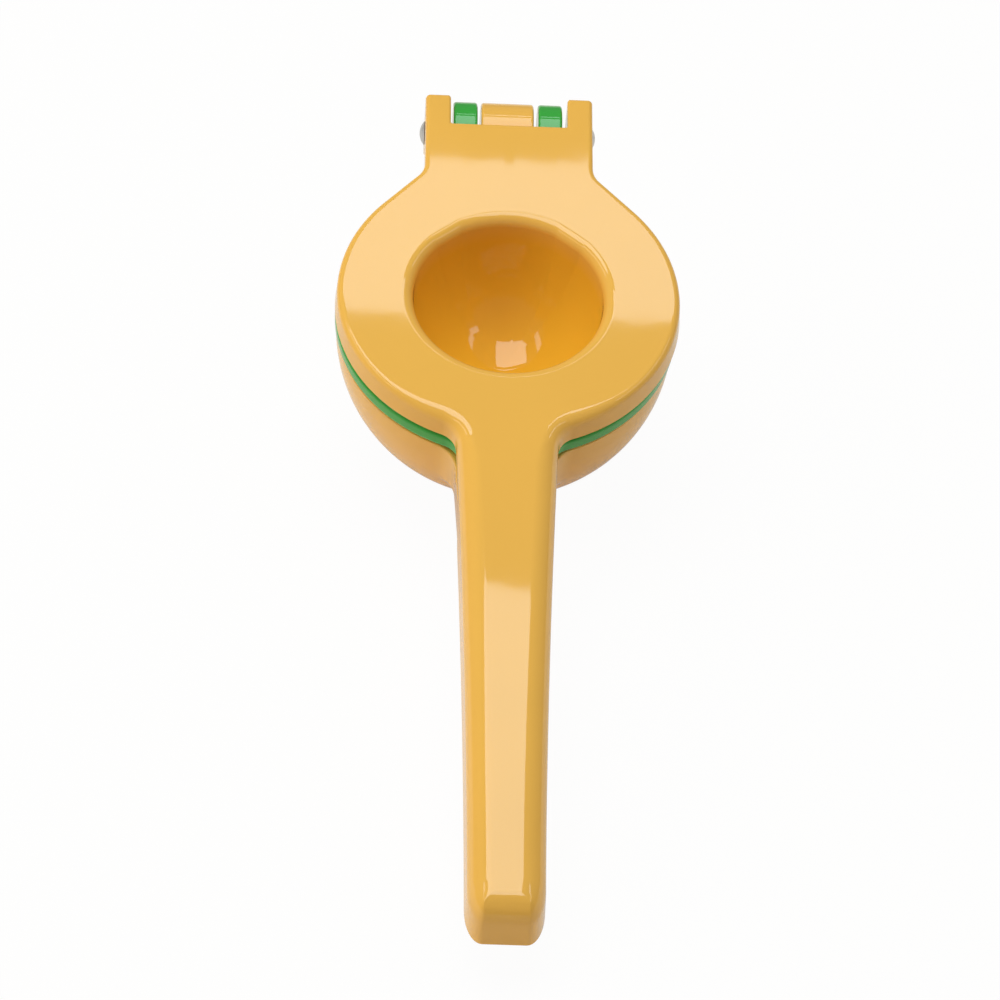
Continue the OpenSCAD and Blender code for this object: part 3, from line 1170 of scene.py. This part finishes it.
@dataclass
class BowlArm:
    """The lower bowl with its flat foot, drain holes, middle knuckle and shorter handle."""

    layout: Layout
    wall: float = 3.0
    rim_round: float = 1.0
    edge: float = 0.4
    neck_height: float = 4.6
    draft: float = 0.4
    handle_wall: float = 2.6
    hole: float = 2.0
    hole_spacing: float = 7.6
    drill: float = 20.0
    drill_below: float = 1.0
    pole_share: float = 0.97
    inner_back: float = 0.6
    channel_over: float = 2.0
    root_reach: float = 4.0
    handle: Arm = field(
        default_factory=lambda: Arm(142.5, 9.9, 6.9, (7.5, 3.3), 8.0, ease=2.4, side_steps=66, end_steps=2)
    )
    neck: Arm = field(default_factory=lambda: Arm(43.4, 11.9, 11.9, (1.0, 1.0), 6.5, end_steps=10))

    def radius(self, depth: float) -> float:
        """Returns the bowl's outer radius at a depth."""
        lay = self.layout
        return lay.rim if depth < lay.bowl_mid else math.sqrt(lay.rim**2 - (depth - lay.bowl_mid) ** 2)

    def top(self, y: float) -> float:
        """Returns the depth of the upper edge, which falls where the handle starts."""
        lay = self.layout
        return lay.bowl_top + (lay.lower_top - lay.bowl_top) * change(-y, lay.step)

    def outline(self, depth: float, inset: float = 0.0, disc: float | None = None) -> list[Point]:
        """Draws the outline of the bowl with both of its arms.

        Args:
            depth: Depth of the outline.
            inset: How far it is drawn in.
            disc: Radius of the disc, where it isn't the bowl's own.

        Returns:
            The outline's points.
        """
        lay = self.layout
        height = max(lay.lower_bottom - depth, 0.0)
        lean = self.draft * min(height, lay.handle_depth) / lay.handle_depth
        side, tip = round_inset(height, lay.handle_round) - lean, round_inset(height, lay.end_round)
        over = max(lay.bowl_top + self.neck_height - depth, 0.0)
        edge = round_inset(over, self.rim_round) + inset
        radius = self.radius(depth) - inset if disc is None else disc
        handle = self.handle.drawn_in(side + inset, tip + inset)
        return around(radius, handle, self.neck.drawn_in(edge, edge))

    @staticmethod
    def pulled_in(outline: Sequence[Point], radius: float, handle: bool, neck: bool) -> list[Point]:
        """Draws the points of an arm back to the disc.

        Args:
            outline: The whole outline.
            radius: The disc's radius.
            handle: Whether the handle's points are drawn back.
            neck: Whether the neck's points are drawn back.

        Returns:
            The changed outline.
        """
        points = []
        for x, y in outline:
            moves = (handle and y < 0) or (neck and y > 0)
            share = radius / math.hypot(x, y) if moves else 1.0
            points.append((x * share, y * share))
        return points

    def risen(self, outline: Sequence[Point], depth: float) -> Ring:
        """Makes a ring whose handle points rise only to the handle's own upper edge.

        Args:
            outline: The ring's outline.
            depth: Depth of its other points.

        Returns:
            The ring.
        """
        lay = self.layout
        base = lay.lower_bottom - lay.handle_round
        share = (base - depth) / (base - lay.bowl_top)
        ring = []
        for x, y in outline:
            raised = base - (base - self.top(y)) * share
            ring.append((x, y, -depth if y > -lay.rim - self.root_reach else -raised))
        return ring

    def outer_rings(self) -> list[Ring]:
        """Returns the rings from the foot's middle to the rim."""
        lay = self.layout
        flat = lay.lower_bottom
        first = math.asin(lay.foot / lay.rim)
        last = math.acos((flat - lay.bowl_mid) / lay.rim)
        joint = self.outline(flat)
        even = angles_of(joint, 0.5)
        rings = [circle(radius, lay.foot_depth, even) for radius in (0.0, lay.foot * self.pole_share)]
        parts = shares(24)
        turns = [first + (last - first) * part for part in parts]
        rings += cap((lay.rim, lay.rim), lay.bowl_mid, turns, joint, [1 - part for part in parts])
        base = flat - lay.handle_round
        low = lay.bowl_top + self.neck_height
        depths = [flat - height for height in round_depths(self.rim_round, lay.handle_round)]
        for depth in depths + [base + (low - base) * k / 4 for k in range(1, 5)]:
            pulled = self.pulled_in(self.outline(depth), self.radius(depth), False, True)
            rings.append(self.risen(pulled, depth) if depth < base else flat_ring(pulled, depth))
        start = low - self.rim_round
        depths = [low - rise for _, rise in rounding(self.rim_round, 5)]
        depths += [start + (lay.bowl_top + self.edge - start) * k / 3 for k in range(1, 4)]
        rings += [self.risen(self.outline(depth), depth) for depth in depths]
        for drop, inset in rounding(self.edge, 4, 1):
            depth = lay.bowl_top + drop
            rings.append(self.risen(self.outline(depth, inset), depth))
        return rings

    def inner_rings(self) -> list[Ring]:
        """Returns the rings from the rim to the middle of the bowl's inside."""
        lay = self.layout
        inner = lay.rim - self.wall
        back = self.inner_back + self.handle_wall
        rest = self.outline(lay.bowl_top, back, inner + self.edge)
        rings = [self.risen(rest, lay.bowl_top)]
        rings.append(flat_ring(self.pulled_in(rest, inner + self.edge, True, True), lay.bowl_top))
        own = angles_of(rest, 0.0)
        edge = rounding(self.edge, 4, 1)
        rings += [circle(inner + out, lay.bowl_top + drop, own) for out, drop in edge]
        depth = lay.foot_depth - self.wall - lay.bowl_mid
        last = math.acos(depth / inner)
        parts = shares(26)
        turns = [math.pi / 2 + (last - math.pi / 2) * part for part in parts]
        rings += cap((inner, inner), lay.bowl_mid, turns, rest, parts)
        even, end = angles_of(rest, 0.5), inner * math.sin(last) * self.pole_share
        return rings + [circle(radius, lay.bowl_mid + depth, even) for radius in (end, 0.0)]

    def channel(self) -> bpy.types.Object:
        """Returns the cutter for the open channel in the handle."""
        lay = self.layout
        wall, inner = self.handle_wall, lay.handle_round - self.handle_wall
        origin = self.handle.edge(lay.rim)[self.handle.fillet_steps][0]
        start = lay.rim + self.wall / 2
        rings = []
        heights = [wall + rise for _, rise in rounding(inner, 5)]
        for height in heights + [lay.lower_bottom - lay.bowl_top + self.channel_over]:
            side = wall + round_inset(height - wall, inner) - self.draft * height / lay.handle_depth
            arm = self.handle.drawn_in(side, wall)
            half = [(a, -u) for u, a in reversed(arm.side(start, origin))]
            rings.append(flat_ring(half + [(-x, y) for x, y in reversed(half)], lay.lower_bottom - height))
        return Bench.loft("channel", rings)

    def build(self) -> bpy.types.Object:
        """Models the bowl arm and returns it, laid in place."""
        lay = self.layout
        body = Bench.loft("bowl_arm_shell", self.outer_rings() + self.inner_rings())
        across, plate = (-lay.knuckle_half, lay.knuckle_half), (lay.bowl_top, lay.pin_depth + lay.knuckle)
        Bench.combine(body, [knuckle(lay, "knuckle", across, plate)], Change.UNITE)
        Bench.combine(body, [self.channel()], Change.CUT)
        middle = self.drill / 2 - self.drill_below - lay.foot_depth
        holes = [
            Bench.drill("hole", self.hole, (x, y, middle), self.drill)
            for x, y in ring_spots(1, 2, self.hole_spacing)
        ]
        Bench.combine(body, holes + [pin_bore(lay)], Change.CUT)
        Bench.finish(body, lay.laid())
        return body


@dataclass
class HingePin:
    """The steel pin with its two domed heads."""

    layout: Layout
    play: float = 0.3
    shank: float = 2.0
    fit: float = 0.05
    head: float = 2.65
    rise: float = 1.0
    edge: float = 0.1
    brim_edge: Point = (0.05, 0.02)
    cap_steps: int = 10

    def build(self) -> bpy.types.Object:
        """Turns the pin and returns it, laid in place."""
        lay = self.layout
        half = lay.ear_out + self.fit
        dome = (self.head**2 + self.rise**2) / (2 * self.rise)
        brim = math.asin(self.head / dome)
        turns = [brim * k / self.cap_steps for k in range(self.cap_steps)]
        cap = [(half + self.rise - dome * (1 - math.cos(a)), dome * math.sin(a)) for a in turns]
        (out, down), edge = self.brim_edge, self.edge
        cap += [(half + out, self.head - down), (half, self.head - edge)]
        cap += [(half, self.shank + edge), (half - edge, self.shank)]
        section = [(-x, r) for x, r in cap] + list(reversed(cap))
        pin = Bench.turned("hinge_pin_steel", section, lay.pin_middle, steps=64)
        Bench.finish(pin, lay.laid(self.play), crease=40.0)
        return pin


@dataclass
class Softbox:
    """One soft area light."""

    name: str
    place: Vector
    aim: Vector
    size: Point
    glow: float
    spin: float = 0.0
    tint: Colour = (0.9, 1.0, 1.06)
    mirrored: bool = True

    def build(self) -> bpy.types.Object:
        """Hangs the light and returns it."""
        lamp = bpy.data.lights.new(self.name, "AREA")
        lamp.shape = "RECTANGLE"
        lamp.size, lamp.size_y = self.size
        lamp.color = self.tint
        lamp.energy = self.glow * math.pi * self.size[0] * self.size[1]
        obj = bpy.data.objects.new(self.name, lamp)
        bpy.context.scene.collection.objects.link(obj)
        obj.visible_glossy = self.mirrored
        obj.location = self.place
        back = self.place - self.aim
        obj.rotation_mode = "QUATERNION"
        obj.rotation_quaternion = back.to_track_quat("Z", "Y") @ Quaternion((0.0, 0.0, 1.0), self.spin)
        return obj


@dataclass
class Studio:
    """Pale floor, soft light and camera."""

    layout: Layout
    camera_place: Spot = (-0.051388, -0.905307, 0.841286)
    camera_right: Spot = (0.998449, -0.006327, 0.055312)
    camera_up: Spot = (-0.035621, 0.690940, 0.722034)
    camera_back: Spot = (-0.042786, -0.722884, 0.689643)
    lens: float = 202.644
    sensor: float = 36.0
    sight: float = 60.0
    floor_size: float = 40.0
    floor_tone: Colour = (0.86, 0.78, 0.66)
    floor_seen: float = 0.96
    floor_mirrored: float = 0.25
    world_light: float = 0.2
    glare: Spot = (0.04251, 0.50055, 0.86466)
    tilt: float = math.radians(4.6)
    plate: Spot = (0.0003, -0.0074, 0.0457)
    strip_drop: float = 0.0213
    box_rise: float = 0.129
    box_shift: float = 0.178
    box_lean: float = math.radians(27.0)
    box_length: float = 0.71
    side_strip: Spot = (0.73, -0.03, 0.726)
    side_fill: Spot = (1.1, -0.3, 0.45)
    bright: float = 4.0

    def camera(self) -> None:
        """Sets up the camera."""
        data = bpy.data.cameras.new("camera")
        data.lens = self.lens
        data.sensor_width = self.sensor
        data.clip_end = self.sight
        obj = bpy.data.objects.new("camera", data)
        bpy.context.scene.collection.objects.link(obj)
        turn = Matrix((self.camera_right, self.camera_up, self.camera_back)).transposed()
        obj.matrix_world = Matrix.Translation(self.camera_place) @ turn.to_4x4()
        bpy.context.scene.camera = obj

    def floor(self) -> None:
        """Lays the floor, white to the eye with the object's own soft shadow."""
        Bench.clear()
        place = (0.0, 0.0, self.layout.table)
        bpy.ops.mesh.primitive_plane_add(size=self.floor_size, location=place)
        floor = bpy.context.active_object
        floor.name = "floor"
        material, graph = Graph.coat("pale_floor")
        matte = graph.node("ShaderNodeBsdfDiffuse", None, {"Color": toned(self.floor_tone)})
        glow = graph.node("ShaderNodeEmission", None, {"Color": (1.0, 1.0, 1.0, 1.0), "Strength": 1.0})
        flags = ("Is Camera Ray", "Is Glossy Ray", "Is Transmission Ray")
        seen, mirrored, through = (graph.node("ShaderNodeLightPath", output=flag) for flag in flags)
        share = seen * self.floor_seen + (mirrored + through) * self.floor_mirrored
        both = graph.node("ShaderNodeMixShader", None, {0: share, 1: matte, 2: glow})
        graph.node("ShaderNodeOutputMaterial", None, {"Surface": both})
        floor.data.materials.append(material)

    def world(self) -> None:
        """Sets a plain dim world above the floor, white to the eye."""
        world = bpy.data.worlds.new("studio")
        world.use_nodes = True
        graph = Graph(world.node_tree)
        pale = (1.0, 1.0, 1.0, 1.0)
        seen = graph.node("ShaderNodeLightPath", output="Is Camera Ray")
        strength = seen * (1.0 - self.world_light) + self.world_light
        light = graph.node("ShaderNodeBackground", None, {"Color": pale, "Strength": strength})
        graph.node("ShaderNodeOutputWorld", None, {"Surface": light})
        bpy.context.scene.world = world

    def lights(self) -> None:
        """Hangs the softboxes that the flat faces mirror."""
        plate = Vector(self.plate)
        out = Vector(self.glare).normalized()
        rise = (Vector((0.0, 0.0, 1.0)) - out.z * out).normalized()
        low = plate + out - rise * self.strip_drop
        lean, slope = math.cos(self.box_lean), math.sin(self.box_lean)
        facing = out * lean + rise * slope
        high = plate + out + rise * self.box_rise - out.cross(rise) * self.box_shift
        high += (rise * lean - out * slope) * (self.box_length / 2)
        pairs = (self.side_strip, self.side_fill)
        strips, fills = ([Vector((x * side, y, z)) for side in (1.0, -1.0)] for x, y, z in pairs)
        plain = {"tint": (1.0, 1.0, 1.0), "mirrored": False}
        boxes = [
            Softbox("back_strip", low, low - out, (0.66, 0.0625), self.bright, self.tilt),
            Softbox("top_box", high, high - facing, (0.75, self.box_length), self.bright, self.tilt),
            Softbox("right_strip", strips[0], plate, (0.75, 0.12), 2.5),
            Softbox("left_strip", strips[1], plate, (0.75, 0.12), 2.5),
            Softbox("left_fill", fills[1], plate, (0.9, 0.9), 2.0, **plain),
            Softbox("right_fill", fills[0], plate, (0.9, 0.9), 0.5, **plain),
        ]
        for box in boxes:
            box.build()

    def build(self) -> None:
        """Sets up the whole studio."""
        self.camera()
        self.floor()
        self.world()
        self.lights()
        bpy.context.scene.view_settings.view_transform = "Standard"


def main() -> None:
    """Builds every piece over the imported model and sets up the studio."""
    logging.basicConfig(level=logging.INFO, format="%(name)s: %(message)s")
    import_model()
    layout = Layout()
    press = PressArm(layout)
    # Painted shade in the press arm's dish, for light bounced between its walls.
    mouth = layout.laid(press.play) @ Vector((0.0, 0.0, -press.lip))
    axis = (layout.laid().to_3x3() @ Vector((0.0, 0.0, 1.0))).normalized()
    painted_dish_shade = PaintedDishShade(tuple(mouth), tuple(axis))
    yellow = Enamel(Slot.YELLOW, (0.86, 0.45, 0.075), painted_dish_shade=painted_dish_shade)
    green = Enamel(Slot.GREEN, (0.042, 0.365, 0.045))
    coats = {finish.slot: finish.make() for finish in (yellow, green, PinSteel())}
    plan = [
        (press, "press_arm", "press", Slot.YELLOW),
        (MiddleCup(layout), "middle_cup", "cup", Slot.GREEN),
        (BowlArm(layout), "bowl_arm", "bowl", Slot.YELLOW),
        (HingePin(layout), "hinge_pin", "bowl", Slot.STEEL),
    ]
    for maker, node, body, slot in plan:
        piece = maker.build()
        piece.data.materials.clear()
        piece.data.materials.append(coats[slot])
        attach(piece, body)
        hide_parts(node)
        LOG.info("%s stands for %s and rides on %s", piece.name, node, body)
    Studio(layout).build()


if __name__ == "__main__":
    main()
